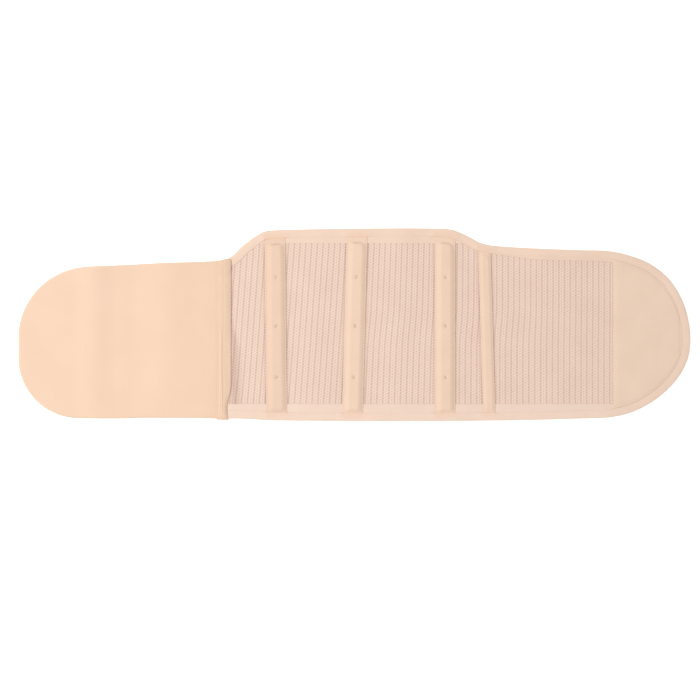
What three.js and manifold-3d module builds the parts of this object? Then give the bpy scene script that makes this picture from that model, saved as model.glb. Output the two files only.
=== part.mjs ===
// Abdominal binder, opened out and lying face up on a flat surface. A smooth closure panel on
// the left laps over an elastic net body, a tape covers that seam, four stay channels are sewn
// down the body, a hook patch closes the right end, and a folded binding edges the body.
// Millimetres, +Z up. +X runs to the hook patch and +Y to the upper edge. The origin is the
// middle of the outline, on the surface that the binder lies on.
import * as THREE from "three";
import { mergeVertices } from "three/addons/utils/BufferGeometryUtils.js";
import Module from "manifold-3d";

// Outline
const LENGTH = 900; // tip to tip
const HEIGHT = 260; // lower to upper edge at the middle
const PANEL_UPPER_RADIUS = 94; // rounded corners of the closure panel's end
const PANEL_LOWER_RADIUS = 80;
const END_LENGTH = 129; // how far the rounded hook end reaches past the straight edges
const END_SQUARENESS = 2.16; // 2 is a plain ellipse

// Layers
const CLEAR = 0.3; // left between one layer and the next
const NET = 1.6; // elastic net
const LEAF = 0.8; // each leaf of the folded binding
const PANEL = 2.4; // laminated closure panel
const TAPE = 1.0;
const PATCH = 1.8; // hook fabric on its backing
const SOFT_EDGE = 0.45; // share of a layer's thickness that is left at its cut or folded edge
const EDGE_ROUND = 3; // how far in from that edge the full thickness starts

// Waves that the cloth keeps where it doesn't lie flat
const WAVE = 2.2;

// Binding
const BINDING_WIDTH = 11;
const BINDING_ROUND = 1.4; // rounding of the fold
const FOLD_CLEAR = 0.7; // between the net's edge and the inside of the fold

// Seam between closure panel and net body
const SEAM_X = -163; // where the tape's foot ends on the net
const TAPE_WIDTH = 21;
const TAPE_FOOT = 9; // part of the tape's width that comes down off the panel on to the net
const TAPE_OVERHANG = 1.5; // tape end left standing past the lower edge
const NET_UNDERLAP = 2; // the net stops this far short of the tape's other edge
const CLIMB = 34; // length over which the panel climbs on to the net
const DRAPE = 12; // length over which a layer comes down from the binding on to the net
const PINCH_RISE = 1.3; // fold pinched up along the tape
const PINCH_WIDTH = 3.6;

// Stay channels
const WIDE_CHANNEL = 28;
const NARROW_CHANNEL = 17;
const FLANGE = 1.0; // flat sewn margin on each side of the pocket
const FLANGE_WIDTH = 1.8;
const WIDE_RISE = 3.4; // pocket over its flange
const NARROW_RISE = 1.7;
const POCKET_SQUARENESS = 4; // 2 is a round section
const POCKET_END = 8; // length of the pocket's rounded end
const TUCK = 4; // how far a channel's ends run in under the binding
const POCKET_FROM_LOWER = 2; // from the binding to the pocket, at each end
const POCKET_FROM_UPPER = 12;
const NARROW_FROM_UPPER = 3;
const BUMP_CLEAR = 1.5; // how far past a channel's edge the binding stays raised
const BUMP_RAMP = 3; // length over which it then comes down
const TACK_WIDTH = 5; // dimple where a channel is tacked through its stay
const TACK_DEPTH = 0.9;

// Hook patch
const PATCH_X = 349; // its straight edge
const PATCH_CLEAR = 1; // between its edge and the binding's

// How finely the shapes are divided
const STEP = 14; // along straight stretches
const FINE_STEP = 6; // where the outline turns
const END_STEPS = 11; // along each quarter of a rounded end

// Edges of the outline. at = share of LENGTH, y = share of HEIGHT, both from the middle.
const UPPER_EDGE = [
  { at: -0.5, y: 0.297 },
  { at: -0.408, y: 0.301 },
  { at: -0.349, y: 0.31 },
  { at: -0.282, y: 0.321 },
  { at: -0.222, y: 0.328 },
  { at: -0.203, y: 0.332 },
  { at: -0.185, y: 0.35 },
  { at: -0.166, y: 0.41 },
  { at: -0.146, y: 0.461 },
  { at: -0.13, y: 0.487 },
  { at: -0.103, y: 0.493 },
  { at: 0.083, y: 0.5 },
  { at: 0.135, y: 0.498 },
  { at: 0.146, y: 0.492 },
  { at: 0.158, y: 0.477 },
  { at: 0.172, y: 0.454 },
  { at: 0.187, y: 0.426 },
  { at: 0.202, y: 0.413 },
  { at: 0.232, y: 0.404 },
  { at: 0.292, y: 0.393 },
  { at: 0.357, y: 0.387 },
];
const LOWER_EDGE = [
  { at: -0.5, y: -0.481 },
  { at: -0.349, y: -0.486 },
  { at: -0.304, y: -0.482 },
  { at: -0.222, y: -0.484 },
  { at: -0.17, y: -0.487 },
  { at: -0.118, y: -0.496 },
  { at: 0.068, y: -0.5 },
  { at: 0.202, y: -0.497 },
  { at: 0.292, y: -0.491 },
  { at: 0.357, y: -0.485 },
];

// How far the middle of the rounded end drifts up. at = share of END_LENGTH, y = share of HEIGHT.
const END_DRIFT = [
  { at: 0, y: 0 },
  { at: 0.35, y: 0 },
  { at: 0.6, y: 0.008 },
  { at: 0.85, y: 0.004 },
  { at: 0.95, y: -0.007 },
  { at: 1, y: -0.02 },
];

// Stretches of the upper edge that turn and take the fine step, as shares of LENGTH.
const TURNS = [
  { from: -0.21, to: -0.12 },
  { from: 0.13, to: 0.215 },
];

// Waves. at = crest and half = half width, as shares of LENGTH; upper and lower = rise at the two
// edges, as shares of WAVE.
const WAVES = [
  { at: -0.387, half: 0.034, upper: 1, lower: 0.7 },
  { at: -0.284, half: 0.05, upper: 0.9, lower: 0.5 },
  { at: -0.058, half: 0.038, upper: 0.3, lower: 0.45 },
  { at: 0.067, half: 0.046, upper: 0.5, lower: 0.3 },
  { at: 0.3, half: 0.06, upper: 0.8, lower: 0.4 },
];

// Stay channels. at = middle and lean = how far it shifts over the HEIGHT, as shares of LENGTH.
const CHANNELS = [
  { name: "stay_channel_1", at: -0.117, lean: -0.003, wide: true },
  { name: "stay_channel_2", at: 0, lean: 0.0044, wide: true },
  { name: "stay_channel_3", at: 0.135, lean: 0, wide: true },
  { name: "stay_channel_4", at: 0.197, lean: -0.006, wide: false },
];
const TACKS = [0.25, -0.008, -0.272]; // dimples along each wide channel, as shares of HEIGHT

const TAPE_X = SEAM_X - TAPE_WIDTH; // the tape's edge on the panel
const PANEL_EDGE_X = SEAM_X - TAPE_FOOT;
const NET_X = TAPE_X + NET_UNDERLAP;
const TIP_X = LENGTH / 2;
const END_X = TIP_X - END_LENGTH;
const NET_LOW = LEAF + CLEAR; // faces of each layer over the surface, before the waves
const NET_HIGH = NET_LOW + NET;
const BINDING_HIGH = NET_HIGH + CLEAR + LEAF;

const wasm = await Module();
wasm.setup();

const lerp = THREE.MathUtils.lerp;
const clamp01 = (t) => THREE.MathUtils.clamp(t, 0, 1);
const ramp = (x, from, to) => THREE.MathUtils.smoothstep(x, from, to);

// Height of a smooth curve through the rows of an edge table, with no overshoot between rows.
function along(table, at) {
  const last = table.length - 1;
  const place = THREE.MathUtils.clamp(at, table[0].at, table[last].at);
  const k = Math.min(last - 1, Math.max(0, table.findIndex((row) => row.at > place) - 1));
  const slopeOf = (i) => (table[i + 1].y - table[i].y) / (table[i + 1].at - table[i].at);
  const tangentAt = (i) => {
    if (i === 0 || i === last) return 0;
    const before = slopeOf(i - 1);
    const after = slopeOf(i);
    return before * after <= 0 ? 0 : (2 * before * after) / (before + after);
  };
  const span = table[k + 1].at - table[k].at;
  const from = place >= table[last].at ? last - 1 : k;
  const t = place >= table[last].at ? 1 : (place - table[k].at) / span;
  const [a, b] = [table[from].y, table[from + 1].y];
  const [m, n] = [tangentAt(from) * span, tangentAt(from + 1) * span];
  const [t2, t3] = [t * t, t * t * t];
  return (2 * t3 - 3 * t2 + 1) * a + (t3 - 2 * t2 + t) * m + (3 * t2 - 2 * t3) * b + (t3 - t2) * n;
}

// What a rounded corner of that radius takes off the edge, this far in from the tip.
function cornerCut(fromTip, radius) {
  const inset = Math.max(0, radius - fromTip);
  return radius - Math.sqrt(Math.max(0, radius * radius - inset * inset));
}

// Lower and upper edge of the whole binder at x.
function outline(x) {
  const upper = HEIGHT * along(UPPER_EDGE, x / LENGTH);
  const lower = HEIGHT * along(LOWER_EDGE, x / LENGTH);
  const pastStraight = clamp01((x - END_X) / END_LENGTH);
  const kept = (1 - pastStraight ** END_SQUARENESS) ** (1 / END_SQUARENESS);
  const middle = (upper + lower) / 2 + HEIGHT * along(END_DRIFT, pastStraight);
  const half = ((upper - lower) / 2) * kept;
  return {
    lower: middle - half + cornerCut(x + TIP_X, PANEL_LOWER_RADIUS),
    upper: middle + half - cornerCut(x + TIP_X, PANEL_UPPER_RADIUS),
  };
}

// The same edges with a border of that width taken off all round.
function inside(x, border) {
  const samples = 12;
  let lower = -Infinity;
  let upper = Infinity;
  for (let i = -samples; i <= samples; i++) {
    const turn = (i / samples) * (Math.PI / 2);
    const edge = outline(x + border * Math.sin(turn));
    lower = Math.max(lower, edge.lower + border * Math.cos(turn));
    upper = Math.min(upper, edge.upper - border * Math.cos(turn));
  }
  return { lower, upper };
}

// How far the cloth stands off the surface at a point.
function wave(x, y) {
  const share = clamp01(y / HEIGHT + 0.5);
  return WAVES.reduce((sum, { at, half, upper, lower }) => {
    const off = Math.min(1, Math.abs(x / LENGTH - at) / half);
    return sum + WAVE * lerp(lower, upper, share) * 0.5 * (1 + Math.cos(Math.PI * off));
  }, 0);
}

const netTop = (x, y) => wave(x, y) + NET_HIGH;

// Top of what is sewn down at a point: the binding near the border, the net elsewhere.
function sewnTop(x, y) {
  const clearOfBinding = inside(x, BINDING_WIDTH + CLEAR);
  const fromBinding = Math.min(y - clearOfBinding.lower, clearOfBinding.upper - y);
  return netTop(x, y) + (BINDING_HIGH - NET_HIGH) * (1 - ramp(fromBinding, 0, DRAPE));
}

// Places from one x to another, no further apart than the step, and finer where an edge turns.
function stations(from, to, extra = []) {
  const places = [from, to, ...extra.filter((x) => x > from && x < to)];
  const marks = [from, ...TURNS.flatMap((turn) => [turn.from * LENGTH, turn.to * LENGTH]), to]
    .filter((x) => x >= from && x <= to)
    .sort((a, b) => a - b);
  for (let i = 0; i + 1 < marks.length; i++) {
    const middle = (marks[i] + marks[i + 1]) / 2 / LENGTH;
    const turning = TURNS.some((turn) => middle > turn.from && middle < turn.to);
    const count = Math.ceil((marks[i + 1] - marks[i]) / (turning ? FINE_STEP : STEP));
    for (let k = 0; k < count; k++) places.push(lerp(marks[i], marks[i + 1], k / count));
  }
  return spread(places);
}

// The places in order, without those that nearly coincide with the one before.
function spread(places) {
  const nearest = 0.2;
  const sorted = [...places].sort((a, b) => a - b);
  return sorted.filter((x, i) => i === 0 || x - sorted[i - 1] > nearest);
}

// Places round a quarter turn, close together at the tip where the edge runs across.
const quarter = (from, reach) =>
  Array.from({ length: END_STEPS }, (_, i) => from + reach * Math.sin(((i + 1) / END_STEPS) * (Math.PI / 2)));

// A closed sheet over a grid. place(column, row) gives x, y and the heights of its two faces.
function sheet(columns, rows, place) {
  const positions = [];
  const triangles = [];
  const at = (c, r, face) => 2 * (c * rows.length + r) + face;
  const quad = (a, b, c, d) => triangles.push(a, b, c, a, c, d);
  columns.forEach((column) =>
    rows.forEach((row) => {
      const { x, y, low, high } = place(column, row);
      positions.push(x, y, high, x, y, low);
    }),
  );
  const [lastColumn, lastRow] = [columns.length - 1, rows.length - 1];
  for (let c = 0; c < lastColumn; c++) {
    for (let r = 0; r < lastRow; r++) {
      quad(at(c, r, 0), at(c + 1, r, 0), at(c + 1, r + 1, 0), at(c, r + 1, 0));
      quad(at(c, r, 1), at(c, r + 1, 1), at(c + 1, r + 1, 1), at(c + 1, r, 1));
    }
    quad(at(c, 0, 1), at(c + 1, 0, 1), at(c + 1, 0, 0), at(c, 0, 0));
    quad(at(c + 1, lastRow, 1), at(c, lastRow, 1), at(c, lastRow, 0), at(c + 1, lastRow, 0));
  }
  for (let r = 0; r < lastRow; r++) {
    quad(at(0, r + 1, 1), at(0, r, 1), at(0, r, 0), at(0, r + 1, 0));
    quad(at(lastColumn, r, 1), at(lastColumn, r + 1, 1), at(lastColumn, r + 1, 0), at(lastColumn, r, 0));
  }
  return geometryOf(positions, triangles);
}

function geometryOf(positions, triangles) {
  const geometry = new THREE.BufferGeometry();
  geometry.setAttribute("position", new THREE.Float32BufferAttribute(positions, 3));
  geometry.setIndex(triangles);
  geometry.computeVertexNormals();
  return geometry;
}

// A named mesh whose own origin is at the anchor, so that it is placed by its position.
function piece(name, geometry, material, anchor) {
  const mesh = new THREE.Mesh(geometry.translate(-anchor[0], -anchor[1], -anchor[2]), material);
  mesh.name = name;
  mesh.position.set(...anchor);
  return mesh;
}

const cloth = (color, roughness) => new THREE.MeshStandardMaterial({ color, roughness, metalness: 0 });

// A layer's thickness at a distance in from its edge, which is rolled or pressed thinner.
const softened = (thickness, fromEdge) =>
  thickness * lerp(SOFT_EDGE, 1, Math.sin((Math.PI / 2) * clamp01(fromEdge / EDGE_ROUND)));

// Elastic net body. Its edge lies inside the fold of the binding.
function netBody() {
  const border = LEAF + FOLD_CLEAR;
  const columns = stations(NET_X, END_X).concat(quarter(END_X, END_LENGTH - border).slice(0, -1));
  const rows = [0, 0.06, 0.2, 0.36, 0.5, 0.64, 0.8, 0.94, 1];
  const geometry = sheet(columns, rows, (x, share) => {
    const edge = inside(x, border);
    const y = lerp(edge.lower, edge.upper, share);
    return { x, y, low: wave(x, y) + NET_LOW, high: netTop(x, y) };
  });
  return piece("net_body", geometry, cloth(0xeed2c2, 0.9), [(NET_X + TIP_X) / 2, 0, NET_LOW]);
}

// Closure panel. It lies on the surface and climbs on to the net at the seam.
function closurePanel() {
  const straight = -TIP_X + PANEL_UPPER_RADIUS;
  const columns = spread([
    ...quarter(straight, -PANEL_UPPER_RADIUS),
    -TIP_X + EDGE_ROUND,
    ...stations(straight, PANEL_EDGE_X, [TAPE_X, PANEL_EDGE_X - EDGE_ROUND]),
  ]);
  const rows = [0, 0.015, 0.07, 0.15, 0.3, 0.5, 0.7, 0.85, 0.93, 0.985, 1];
  const geometry = sheet(columns, rows, (x, share) => {
    const edge = outline(x);
    const y = lerp(edge.lower, edge.upper, share);
    const climb = ramp(x, TAPE_X - CLIMB, TAPE_X);
    const low = lerp(wave(x, y), sewnTop(x, y) + CLEAR, climb);
    const fromEdge = Math.min(x + TIP_X, y - edge.lower, edge.upper - y);
    return { x, y, low, high: low + softened(PANEL, fromEdge) };
  });
  return piece("closure_panel", geometry, cloth(0xf6d8bf, 0.85), [(PANEL_EDGE_X - TIP_X) / 2, 0, 0]);
}

const panelTop = (x, y) => sewnTop(x, y) + CLEAR + PANEL;

// Tape over the seam. It lies on the panel's end and comes down over it on to the net.
function seamTape() {
  const shoulder = PANEL_EDGE_X + CLEAR; // where its underside leaves the panel
  const foot = shoulder + CLEAR;
  const pinchX = TAPE_X + 0.3 * TAPE_WIDTH;
  const columns = [
    TAPE_X,
    TAPE_X + PINCH_WIDTH / 2,
    pinchX - PINCH_WIDTH / 2,
    pinchX,
    pinchX + PINCH_WIDTH / 2,
    PANEL_EDGE_X - CLEAR,
    shoulder,
    foot,
    lerp(foot, SEAM_X, 0.35),
    lerp(foot, SEAM_X, 0.7),
    SEAM_X,
  ];
  const rows = [0, 0.015, 0.07, 0.15, 0.24, 0.35, 0.48, 0.6, 0.72, 0.85, 0.93, 0.985, 1];
  const geometry = sheet(columns, rows, (x, share) => {
    const edge = outline(x);
    const y = lerp(edge.lower - TAPE_OVERHANG, edge.upper, share);
    const onPanel = panelTop(Math.min(x, shoulder), y) + CLEAR;
    const onNet = sewnTop(x, y) + CLEAR;
    const pinched = ramp(share, 0.07, 0.2) * (1 - ramp(share, 0.35, 0.6));
    const pinch = x === pinchX ? PINCH_RISE * pinched : 0;
    const thin = softened(TAPE, Math.min(x - TAPE_X, SEAM_X - x) * (EDGE_ROUND / (PINCH_WIDTH / 2)));
    const down = clamp01((x - shoulder) / (SEAM_X - shoulder));
    const fall = Math.sqrt(1 - down * down); // a round shoulder
    return {
      x,
      y,
      low: x < foot ? onPanel : onNet,
      high: lerp(onNet, onPanel, fall) + thin + pinch,
    };
  });
  return piece("seam_tape", geometry, cloth(0xf2d2b6, 0.85), [SEAM_X - TAPE_WIDTH / 2, 0, BINDING_HIGH]);
}

const halfWidth = ({ wide }) => (wide ? WIDE_CHANNEL : NARROW_CHANNEL) / 2;
const channelX = ({ at, lean }, y) => LENGTH * (at + lean * (y / HEIGHT));

// Stay channel: a flat flange with a raised pocket, its ends tucked under the binding.
function stayChannel(channel) {
  const half = halfWidth(channel);
  const pocketHalf = half - FLANGE_WIDTH;
  const rise = channel.wide ? WIDE_RISE : NARROW_RISE;
  const fromUpper = TUCK + (channel.wide ? POCKET_FROM_UPPER : NARROW_FROM_UPPER);
  const fromLower = TUCK + POCKET_FROM_LOWER;
  const shoulders = channel.wide ? [0.95, 0.84, 0.62] : [0.9, 0.6];
  const columns = spread(
    [half, pocketHalf, ...shoulders.map((share) => share * pocketHalf)].flatMap((off) => [-off, off]).concat(0),
  );
  const ends = [0, 0.15, 0.45, 1];
  const middles = [0.12, 0.25, 0.38, 0.5, 0.62, 0.75, 0.88];
  const rows = [
    { from: 0 },
    ...ends.map((share) => ({ from: fromLower + share * POCKET_END })),
    ...middles.map((share) => ({ share })),
    ...[...ends].reverse().map((share) => ({ to: fromUpper + share * POCKET_END })),
    { to: 0 },
  ];
  const geometry = sheet(columns, rows, (off, { from, share, to }) => {
    const edge = inside(channel.at * LENGTH + off, BINDING_WIDTH - TUCK);
    const [start, end] = [edge.lower + fromLower + POCKET_END, edge.upper - fromUpper - POCKET_END];
    const inner = share === undefined ? 0 : lerp(start, end, share);
    const y = from !== undefined ? edge.lower + from : to !== undefined ? edge.upper - to : inner;
    const x = channelX(channel, y) + off;
    const intoPocket = Math.min(y - edge.lower - fromLower, edge.upper - fromUpper - y);
    const fromEnd = 1 - clamp01(intoPocket / POCKET_END);
    const endRound = Math.sqrt(1 - fromEnd * fromEnd);
    const crown = 1 - Math.min(1, Math.abs(off) / pocketHalf) ** POCKET_SQUARENESS;
    const low = netTop(x, y) + CLEAR;
    return { x, y, low, high: low + FLANGE + rise * crown * endRound };
  });
  const top = NET_HIGH + CLEAR + FLANGE + rise;
  const places = channel.wide ? TACKS.map((share) => share * HEIGHT) : [];
  const tacked = places.reduce((solid, y) => {
    const x = channelX(channel, y);
    return solid.subtract(tackCutter(x, y, top + wave(x, y)));
  }, solidOf(geometry));
  const anchor = [channel.at * LENGTH, 0, NET_HIGH + CLEAR];
  return piece(channel.name, fromSolid(tacked), cloth(0xf0d2b8, 0.85), anchor);
}

// Ball that cuts a tack's dimple into a pocket's top.
function tackCutter(x, y, top) {
  const radius = ((TACK_WIDTH / 2) ** 2 + TACK_DEPTH ** 2) / (2 * TACK_DEPTH);
  const ball = new THREE.SphereGeometry(radius, 10, 8).rotateX(Math.PI / 2);
  return solidOf(ball.translate(x, y, top - TACK_DEPTH + radius));
}

function solidOf(geometry) {
  const bare = geometry.clone();
  bare.deleteAttribute("normal");
  bare.deleteAttribute("uv");
  const merged = mergeVertices(bare, 1e-4);
  const vertProperties = new Float32Array(merged.attributes.position.array);
  return new wasm.Manifold(
    new wasm.Mesh({ numProp: 3, vertProperties, triVerts: new Uint32Array(merged.index.array) }),
  );
}

function fromSolid(solid) {
  const { vertProperties, triVerts } = solid.getMesh();
  return geometryOf(vertProperties, Array.from(triVerts));
}

// Round the border of the body from the lower seam to the upper one: points and inward normals.
function borderPath() {
  const breaks = (side) =>
    CHANNELS.flatMap((channel) => {
      const x = channelX(channel, side === "upper" ? HEIGHT / 2 : -HEIGHT / 2);
      const flat = halfWidth(channel) + BUMP_CLEAR;
      return [-flat - BUMP_RAMP, -flat, flat, flat + BUMP_RAMP].map((off) => x + off);
    });
  const point = (side) => (x) => ({ x, y: outline(x)[side] });
  const lower = stations(NET_X, END_X, breaks("lower")).map(point("lower"));
  const upper = stations(NET_X, END_X, breaks("upper")).map(point("upper")).reverse();
  const round = [];
  const tip = outline(TIP_X);
  for (let i = 1; i < 2 * END_STEPS; i++) {
    const turn = (i / END_STEPS - 1) * (Math.PI / 2);
    const x = END_X + END_LENGTH * Math.cos(turn) ** (2 / END_SQUARENESS);
    round.push({ x, y: i === END_STEPS ? tip.upper : outline(x)[i < END_STEPS ? "lower" : "upper"] });
  }
  const points = [...lower, ...round, ...upper];
  return points.map((p, i) => {
    const before = points[Math.max(0, i - 1)];
    const after = points[Math.min(points.length - 1, i + 1)];
    const run = Math.hypot(after.x - before.x, after.y - before.y);
    return { ...p, inX: -(after.y - before.y) / run, inY: (after.x - before.x) / run };
  });
}

// How much the binding is raised where it crosses a channel's tucked end.
function bump(x, y) {
  return CHANNELS.reduce((most, channel) => {
    const past = Math.abs(x - channelX(channel, y)) - halfWidth(channel) - BUMP_CLEAR;
    return Math.max(most, (FLANGE + CLEAR) * clamp01(1 - past / BUMP_RAMP));
  }, 0);
}

// Folded binding: one leaf under the net's edge and one over it.
function edgeBinding() {
  const tucked = BINDING_WIDTH - TUCK - 2 * CLEAR; // the upper leaf is at full height from here in
  const section = [
    { into: BINDING_WIDTH, z: 0 },
    { into: BINDING_ROUND, z: 0 },
    { into: 0, z: BINDING_HIGH * 0.32 },
    { into: 0, z: BINDING_HIGH * 0.68 },
    { into: BINDING_ROUND, z: BINDING_HIGH },
    { into: tucked, z: BINDING_HIGH, bumped: true },
    { into: BINDING_WIDTH, z: BINDING_HIGH, bumped: true },
    { into: BINDING_WIDTH, z: NET_HIGH + CLEAR, bumped: true },
    { into: tucked, z: NET_HIGH + CLEAR, bumped: true },
    { into: LEAF, z: NET_HIGH + CLEAR },
    { into: LEAF, z: LEAF },
    { into: BINDING_WIDTH, z: LEAF },
  ].reverse();
  const path = borderPath();
  const positions = [];
  const triangles = [];
  path.forEach((p) => {
    section.forEach(({ into, z, bumped }) => {
      const x = p.x + p.inX * into;
      const y = p.y + p.inY * into;
      positions.push(x, y, wave(x, y) + z + (bumped ? bump(x, y) : 0));
    });
  });
  const around = section.length;
  for (let i = 0; i + 1 < path.length; i++) {
    for (let k = 0; k < around; k++) {
      const next = (k + 1) % around;
      const [a, b, c, d] = [i * around + k, i * around + next, (i + 1) * around + next, (i + 1) * around + k];
      triangles.push(a, b, c, a, c, d);
    }
  }
  const flat = section.map(({ into, z }) => new THREE.Vector2(into, z));
  const last = (path.length - 1) * around;
  THREE.ShapeUtils.triangulateShape(flat, []).forEach(([a, b, c]) => {
    triangles.push(a, c, b);
    triangles.push(last + a, last + b, last + c);
  });
  const geometry = geometryOf(positions, triangles);
  return piece("edge_binding", geometry, cloth(0xf3d8c4, 0.85), [(NET_X + TIP_X) / 2, 0, 0]);
}

// Hook patch: fills the rounded end inside the binding.
function hookPatch() {
  const border = BINDING_WIDTH + PATCH_CLEAR;
  const columns = spread([
    ...stations(PATCH_X, TIP_X - border - EDGE_ROUND, [PATCH_X + EDGE_ROUND]),
    ...quarter(PATCH_X, TIP_X - border - PATCH_X).slice(0, -1),
  ]);
  const rows = [0, 0.02, 0.12, 0.3, 0.5, 0.7, 0.88, 0.98, 1];
  const geometry = sheet(columns, rows, (x, share) => {
    const edge = inside(x, border);
    const y = lerp(edge.lower, edge.upper, share);
    const low = netTop(x, y) + CLEAR;
    const fromEdge = Math.min(x - PATCH_X, TIP_X - border - x, y - edge.lower, edge.upper - y);
    return { x, y, low, high: low + softened(PATCH, fromEdge) };
  });
  return piece("hook_patch", geometry, cloth(0xe9cfb7, 0.8), [PATCH_X, 0, NET_HIGH + CLEAR]);
}

const closure = new THREE.Group().add(closurePanel(), seamTape());
const body = new THREE.Group().add(netBody(), edgeBinding(), ...CHANNELS.map(stayChannel));
const binder = new THREE.Group().add(closure, body, hookPatch());

export default binder;
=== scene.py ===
# Abdominal binder, opened out and lying face up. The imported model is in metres, with +Z up.
# Sizes below are in millimetres and are turned into metres as each mesh is made.
import math

import bpy
import numpy as np
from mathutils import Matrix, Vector


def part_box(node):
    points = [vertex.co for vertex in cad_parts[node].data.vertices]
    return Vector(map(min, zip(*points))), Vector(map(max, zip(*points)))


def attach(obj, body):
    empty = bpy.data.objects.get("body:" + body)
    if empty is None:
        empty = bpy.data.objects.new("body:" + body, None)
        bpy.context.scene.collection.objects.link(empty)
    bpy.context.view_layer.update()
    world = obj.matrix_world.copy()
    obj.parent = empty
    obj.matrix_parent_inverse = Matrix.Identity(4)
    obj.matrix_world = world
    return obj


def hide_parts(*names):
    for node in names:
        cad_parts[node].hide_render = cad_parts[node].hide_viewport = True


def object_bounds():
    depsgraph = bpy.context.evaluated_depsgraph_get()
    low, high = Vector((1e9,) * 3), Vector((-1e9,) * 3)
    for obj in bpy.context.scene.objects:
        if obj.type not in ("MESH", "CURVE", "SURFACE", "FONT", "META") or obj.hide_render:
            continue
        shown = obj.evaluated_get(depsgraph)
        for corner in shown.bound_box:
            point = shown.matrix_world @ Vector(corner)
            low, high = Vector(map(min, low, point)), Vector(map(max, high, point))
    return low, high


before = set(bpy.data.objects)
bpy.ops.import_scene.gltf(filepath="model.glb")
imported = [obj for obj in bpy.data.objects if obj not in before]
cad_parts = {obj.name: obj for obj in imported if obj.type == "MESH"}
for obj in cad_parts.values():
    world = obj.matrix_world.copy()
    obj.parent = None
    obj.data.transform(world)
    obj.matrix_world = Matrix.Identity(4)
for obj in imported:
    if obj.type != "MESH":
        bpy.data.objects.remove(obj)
cad_low, cad_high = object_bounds()
MM = 0.001  # one millimetre, in metres


# Studio
# A white table, lit through from below as for a cut-out photograph, under a large soft light
# from the left, with the camera straight above.
VIEW_WIDTH = 938  # what the picture takes in
VIEW_MIDDLE = (-5.6, -34.2)
VIEW_DISTANCE = 2215
SENSOR = 36
KEY_PLACE, KEY_SIZE = (-1.45, 0.12, 2.45), (1.1, 1.3)  # of the soft light, in metres
KEY_POWER = 46.5
SKY_GLOW, TABLE_GLOW = 0.65, 0.3
TABLE_SIZE, TABLE_DROP = 12, 0.0003  # in metres
WHITE = (1.0, 1.0, 1.0, 1.0)


def settle(node, values):
    """Sets a node's inputs by name."""
    for name, value in values.items():
        node.inputs[name].default_value = value


bpy.ops.object.select_all(action="DESELECT")
bpy.ops.object.camera_add(location=(VIEW_MIDDLE[0] * MM, VIEW_MIDDLE[1] * MM, VIEW_DISTANCE * MM))
camera = bpy.context.object
camera.name = "camera"
camera.data.sensor_width = SENSOR
camera.data.lens = SENSOR * VIEW_DISTANCE / VIEW_WIDTH
camera.data.clip_start = 0.1
bpy.context.scene.camera = camera

bpy.ops.object.light_add(type="AREA", location=KEY_PLACE)
key = bpy.context.object
key.name = "key_light"
key.data.shape = "RECTANGLE"
key.data.size, key.data.size_y = KEY_SIZE
key.data.energy = KEY_POWER
key.rotation_euler = (Vector((0, 0, 0)) - key.location).to_track_quat("-Z", "Y").to_euler()

world = bpy.data.worlds.new("studio")
bpy.context.scene.world = world
world.use_nodes = True
settle(world.node_tree.nodes["Background"], {"Color": WHITE, "Strength": SKY_GLOW})
bpy.context.scene.view_settings.view_transform = "Standard"

bpy.ops.mesh.primitive_plane_add(size=TABLE_SIZE, location=(0, 0, -TABLE_DROP))
table = bpy.context.object
table.name = "table"
bpy.ops.object.transform_apply(location=True, rotation=True, scale=True)
paper = bpy.data.materials.new("white_paper")
paper.use_nodes = True
settle(paper.node_tree.nodes["Principled BSDF"], {
    "Base Color": WHITE, "Roughness": 0.9, "Emission Color": WHITE, "Emission Strength": TABLE_GLOW})
table.data.materials.append(paper)


# Net body
# The elastic net that everything is sewn to: knitted cloth with rows of round holes, and a
# plain selvedge along both edges. It is made as a brick pattern of cells, each inset to a
# hole, and leans as the stretched cloth does between one channel and the next.
LENGTH = (cad_high.x - cad_low.x) / MM
HEIGHT = (cad_high.y - cad_low.y) / MM
SOFT_UPPER, SOFT_LOWER = 1.1, 0.2  # the cloth's soft edges draw in by this
PANEL_UPPER_RADIUS, PANEL_LOWER_RADIUS = 94, 80
END_LENGTH, END_SQUARENESS = 129, 2.08  # the rounded hook end
NET_LOW, NET_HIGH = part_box("net_body")[0].z / MM, 2.7
BINDING_WIDTH = 11
TURNS = 25  # directions in which a border is measured off the outline
HOLE_PITCH, ROW_PITCH = 3.86, 3.83  # from one column or row of holes to the next
LEVEL = 0.1  # an edge that climbs less than this share of ROW_PITCH is level
HOLE = 1.35  # across a hole, before the rows are told apart
DEEP_HOLE = (0.85, 1.15)  # every second column of holes is drawn open and lies in a groove
SHALLOW_HOLE = (0.64, 0.72)
WIDEST_HOLE = 2.2
HEX_SHIFT = 0.34  # how far a cell's corners are pulled to make it six-sided
DEEP_RIM, SHALLOW_RIM = 0.42, 0.16  # how far a hole's rim lies below the strands
UNEVEN_HOLES, MOST_OPEN = 0.22, 1.1  # how much the holes' sizes differ, and the most they grow
TUCK_X, TUCK_HALF, TUCK_RISE = -166, 11, 0.9  # the net stands up where the tape pinches it
TUCK_SHARPNESS, TUCK_BELOW = 1.5, 30  # in full from this far below the middle line
PINCH_FROM, PINCH_FULL = -10, 45  # where the tape's pinch sets in and is full, down from there
GATHER = 1.5  # the pinch draws the net's lower corner towards it
GATHER_DOWN, GATHER_ALONG = (62, 122), (-165, -112)  # where that sets in, down and along
PRESS_WIDTH, PRESS_DEPTH, PRESS_OUT = 1.6, 0.25, 0.3  # a groove beside each channel, with painted shade in it
TAPE_RIGHT = -164.5
TAPE_NEAR, TAPE_FAR = 0.5, 3.0  # past it the net is pressed down and given painted shade in full to here, then less to here
PINCH_NEAR, PINCH_FAR = 2.5, 15.0  # and further out by this beside the pinch
TAPE_LESS, TAPE_LESS_REACH = 0.5, 3.5  # but less close to the pinch
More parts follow.
